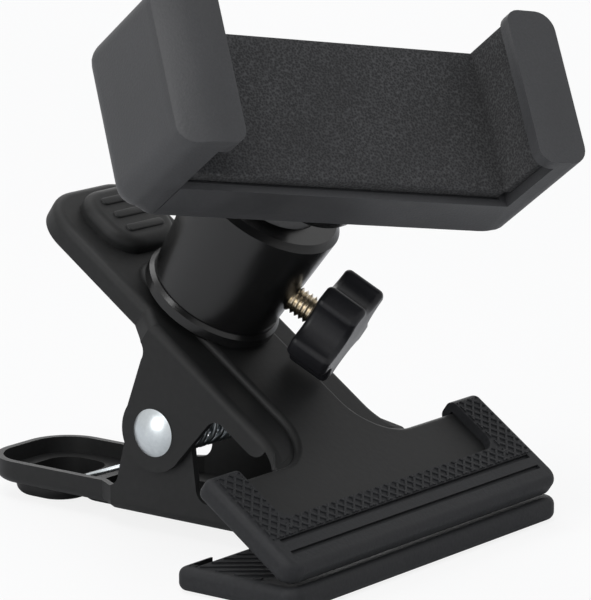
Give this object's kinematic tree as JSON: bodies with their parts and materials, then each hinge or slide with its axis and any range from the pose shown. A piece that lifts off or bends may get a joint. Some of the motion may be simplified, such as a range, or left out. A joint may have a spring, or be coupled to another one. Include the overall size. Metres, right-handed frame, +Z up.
{
  "type": "guitar phone holder",
  "caption": "Spring clamp with wide rubber-booted jaws that bites a guitar headstock, carrying a ball head and a sprung clip that grips a phone.",
  "frame": {"origin": "on the lower jaw pad's flat underside, on its centre line, midway between its grooves and its window", "axes": "+Z up, out of the lower pad towards the upper jaw; +X along the clamp's pivot; the jaws bite towards -Y and the handles point to +Y"},
  "size_m": [0.0898, 0.1074, 0.0973],
  "materials": {
    "black_steel": "semi-gloss black coating",
    "boot_rubber": "moulded matt rubber",
    "zinc_rivet": "bright zinc",
    "spring_wire": "drawn wire",
    "zinc_screw": "zinc plated",
    "black_aluminium": "black anodised",
    "nickel_stud": "nickel plated brass",
    "knob_plastic": "satin moulding",
    "seat_plastic": "plain moulding",
    "dark_steel": "blackened steel",
    "clip_plastic": "fine textured moulding",
    "foam": "closed cell foam"
  },
  "bodies": {
    "lower_jaw": {"lower_jaw_arm": "black_steel", "lower_jaw_pad": "boot_rubber", "pivot_rivet": "zinc_rivet", "torsion_spring": "spring_wire"},
    "upper_jaw": {"upper_jaw_arm": "black_steel", "upper_jaw_pad": "boot_rubber", "ball_head_screw": "zinc_screw", "base_ring": "black_aluminium", "ball_housing": "black_aluminium"},
    "thumb_screw": {"thumb_screw_stud": "nickel_stud", "thumb_knob": "knob_plastic"},
    "ball_pan": {"ball_seat": "seat_plastic"},
    "ball_stem": {"ball_stem": "dark_steel"},
    "lock_nut": {"lock_nut": "black_aluminium"},
    "phone_clip": {"clip_base": "clip_plastic", "back_cover": "clip_plastic", "mount_nut": "zinc_screw", "cover_screws": "zinc_screw", "base_pad": "foam", "fixed_jaw_pad": "foam", "upper_clip_spring": "spring_wire", "lower_clip_spring": "spring_wire"},
    "sliding_jaw": {"sliding_jaw": "clip_plastic", "sliding_jaw_pad": "foam"}
  },
  "joints": [
    {"name": "clamp_open", "type": "hinge", "parent": "lower_jaw", "child": "upper_jaw", "pos_m": [0, 0.0377, 0.0177], "axis": [-1, 0, 0], "range_deg": [0, 50], "stiffness_Nm_per_rad": 1.2, "springref_deg": -45.84, "deforming": ["torsion_spring"]},
    {"name": "thumb_turn", "type": "hinge", "parent": "upper_jaw", "child": "thumb_screw", "pos_m": [0, 0.0318, 0.0455], "axis": [0.309, -0.7813, -0.5423], "continuous": true},
    {"name": "ball_pan_turn", "type": "hinge", "parent": "upper_jaw", "child": "ball_pan", "pos_m": [0, 0.02598, 0.05387], "axis": [0, -0.5702, 0.8215], "continuous": true},
    {"name": "ball_tilt", "type": "hinge", "parent": "ball_pan", "child": "ball_stem", "pos_m": [0, 0.02598, 0.05387], "axis": [0.8241, -0.4653, -0.323], "range_deg": [-51, 5]},
    {"name": "lock_nut_turn", "type": "hinge", "parent": "ball_stem", "child": "lock_nut", "pos_m": [0, 0.02598, 0.05387], "axis": [-0.2213, -0.7894, 0.5726], "continuous": true},
    {"name": "clip_swivel", "type": "hinge", "parent": "ball_stem", "child": "phone_clip", "pos_m": [0, 0.02598, 0.05387], "axis": [-0.2213, -0.7894, 0.5726], "continuous": true},
    {"name": "jaw_slide", "type": "slide", "parent": "phone_clip", "child": "sliding_jaw", "axis": [-0.9214, 0.3616, 0.1424], "range_m": [0, 0.027], "stiffness_N_per_m": 250, "springref_m": -0.03, "deforming": ["upper_clip_spring", "lower_clip_spring"]}
  ]
}
